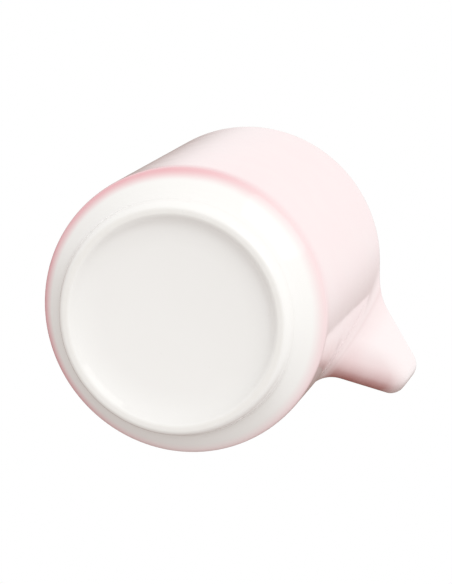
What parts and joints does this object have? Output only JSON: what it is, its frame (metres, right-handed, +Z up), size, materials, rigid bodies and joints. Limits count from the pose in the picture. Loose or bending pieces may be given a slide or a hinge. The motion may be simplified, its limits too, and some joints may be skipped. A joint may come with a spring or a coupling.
{
  "type": "cream jug",
  "caption": "Handleless cylindrical porcelain cream jug with a V-shaped beak spout, white bevelled shoulder, foot ring and recessed base.",
  "frame": {"origin": "middle of the bounding box on the standing plane; the body's own axis stands 9.5 mm behind it, at x = -0.0095", "axes": "+Z up along the body's axis, +X from the body out along the beak spout, +Y across the spout"},
  "size_m": [0.089, 0.07, 0.0844],
  "materials": {
    "pink_glaze": "gloss",
    "white_glaze": "gloss",
    "foot_porcelain": "satin"
  },
  "bodies": {
    "root": {"body_wall": "pink_glaze", "spout": "pink_glaze", "rim": "pink_glaze", "shoulder": "white_glaze", "foot_ring": "foot_porcelain", "base_floor": "white_glaze"}
  },
  "joints": []
}
